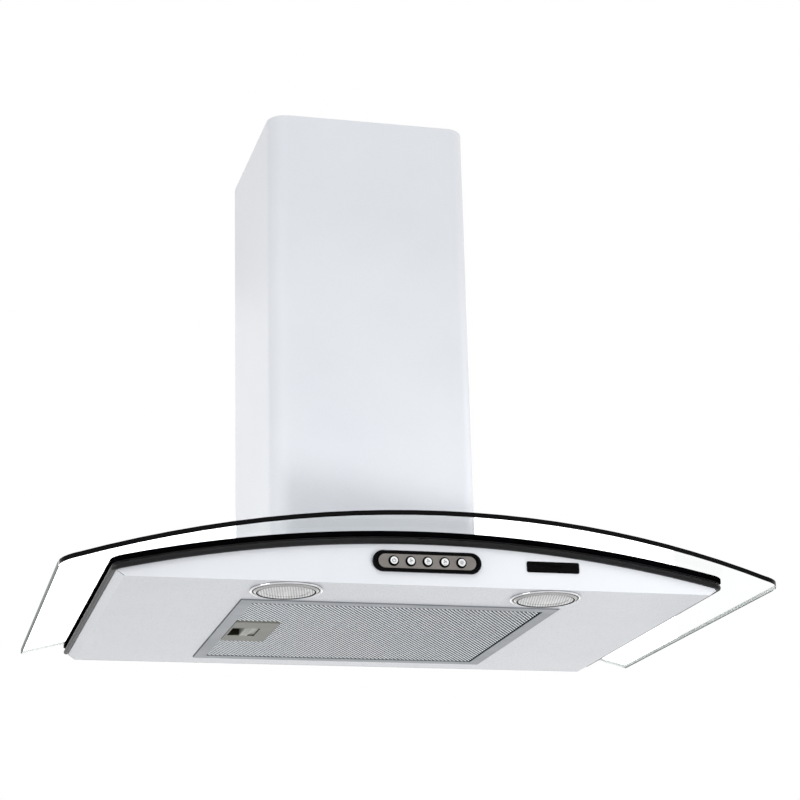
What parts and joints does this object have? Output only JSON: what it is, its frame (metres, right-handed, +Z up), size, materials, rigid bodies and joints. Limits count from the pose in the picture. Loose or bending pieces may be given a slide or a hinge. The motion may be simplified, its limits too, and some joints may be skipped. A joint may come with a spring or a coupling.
{
  "type": "curved glass range hood",
  "caption": "Wall-hung kitchen hood: shallow painted body under a bowed glass canopy, box chimney, blower, hinged grease filter, lamps and push buttons.",
  "frame": {"origin": "on the rear face of the rear panel, at the middle of its width and level with its keyholes", "axes": "+X to the right seen from the front, +Y into the wall, +Z up"},
  "size_m": [0.6, 0.4, 0.4906],
  "materials": {
    "white_paint": "white gloss powder coat",
    "canopy_glass": "clear, polished edge",
    "black_rubber": "satin",
    "black_plastic": "gloss",
    "dark_plastic": "matt",
    "grey_plastic": "satin",
    "panel_grey": "anodised",
    "button_silver": "satin silver",
    "filter_aluminium": "anodised, brushed",
    "fan_aluminium": "moulded",
    "lamp_chrome": "polished",
    "lens_glass": "moulded prisms",
    "polished_steel": "polished",
    "zinc_steel": "zinc coated",
    "motor_steel": "dark lacquer"
  },
  "bodies": {
    "hood": {"body_shell": "white_paint", "chimney_outer": "white_paint", "body_deck": "white_paint", "glass_canopy": "canopy_glass", "glass_trim": "black_rubber", "glass_grommet_1": "black_rubber", "glass_grommet_2": "black_rubber", "glass_grommet_3": "black_rubber", "glass_grommet_4": "black_rubber", "glass_screw_1": "polished_steel", "glass_screw_2": "polished_steel", "glass_screw_3": "polished_steel", "glass_screw_4": "polished_steel", "rear_panel": "zinc_steel", "blower_box": "zinc_steel", "scroll_left": "dark_plastic", "scroll_right": "dark_plastic", "motor": "motor_steel", "motor_mount": "zinc_steel", "outlet_collar": "dark_plastic", "damper_pin": "zinc_steel", "terminal_box": "black_plastic", "cord_gland": "dark_plastic", "capacitor": "grey_plastic", "lamp_bezel_left": "lamp_chrome", "lamp_bezel_right": "lamp_chrome", "lamp_lens_left": "lens_glass", "lamp_lens_right": "lens_glass", "lamp_housing_left": "zinc_steel", "lamp_housing_right": "zinc_steel", "lamp_bulb_left": "lens_glass", "lamp_bulb_right": "lens_glass", "control_bezel": "black_plastic", "control_insert": "panel_grey", "switch_block": "black_plastic"},
    "chimney_upper": {"chimney_inner": "white_paint", "chimney_bracket": "zinc_steel"},
    "fan": {"impeller": "fan_aluminium", "motor_shaft": "zinc_steel"},
    "flap_front": {"damper_flap_front": "dark_plastic"},
    "flap_rear": {"damper_flap_rear": "dark_plastic"},
    "filter": {"filter_frame": "filter_aluminium", "filter_mesh": "filter_aluminium", "latch_plate": "grey_plastic"},
    "latch": {"latch_slide": "grey_plastic"},
    "button_1": {"button_1": "button_silver"},
    "button_2": {"button_2": "button_silver"},
    "button_3": {"button_3": "button_silver"},
    "button_4": {"button_4": "button_silver"},
    "button_5": {"button_5": "button_silver"}
  },
  "joints": [
    {"name": "chimney_slide", "type": "slide", "parent": "hood", "child": "chimney_upper", "axis": [0, 0, 1], "range_m": [0, 0.3]},
    {"name": "fan_spin", "type": "hinge", "parent": "hood", "child": "fan", "pos_m": [0, -0.096, 0.109], "axis": [1, 0, 0], "continuous": true},
    {"name": "flap_front_swing", "type": "hinge", "parent": "hood", "child": "flap_front", "pos_m": [0, -0.074, 0.231], "axis": [-1, 0, 0], "range_deg": [0, 76]},
    {"name": "flap_rear_swing", "type": "hinge", "parent": "hood", "child": "flap_rear", "pos_m": [0, -0.074, 0.231], "axis": [1, 0, 0], "range_deg": [0, 76]},
    {"name": "filter_swing", "type": "hinge", "parent": "hood", "child": "filter", "pos_m": [0.1371, -0.1515, -0.02285], "axis": [0, -1, 0], "range_deg": [0, 75]},
    {"name": "latch_travel", "type": "slide", "parent": "filter", "child": "latch", "axis": [1, 0, 0], "range_m": [0, 0.006], "stiffness_N_per_m": 400, "springref_m": -0.002},
    {"name": "button_1_press", "type": "slide", "parent": "hood", "child": "button_1", "axis": [0, 1, 0], "range_m": [0, 0.002], "stiffness_N_per_m": 300, "springref_m": -0.001},
    {"name": "button_2_press", "type": "slide", "parent": "hood", "child": "button_2", "axis": [0, 1, 0], "range_m": [0, 0.002], "stiffness_N_per_m": 300, "springref_m": -0.001},
    {"name": "button_3_press", "type": "slide", "parent": "hood", "child": "button_3", "axis": [0, 1, 0], "range_m": [0, 0.002], "stiffness_N_per_m": 300, "springref_m": -0.001},
    {"name": "button_4_press", "type": "slide", "parent": "hood", "child": "button_4", "axis": [0, 1, 0], "range_m": [0, 0.002], "stiffness_N_per_m": 300, "springref_m": -0.001},
    {"name": "button_5_press", "type": "slide", "parent": "hood", "child": "button_5", "axis": [0, 1, 0], "range_m": [0, 0.002], "stiffness_N_per_m": 300, "springref_m": -0.001}
  ]
}
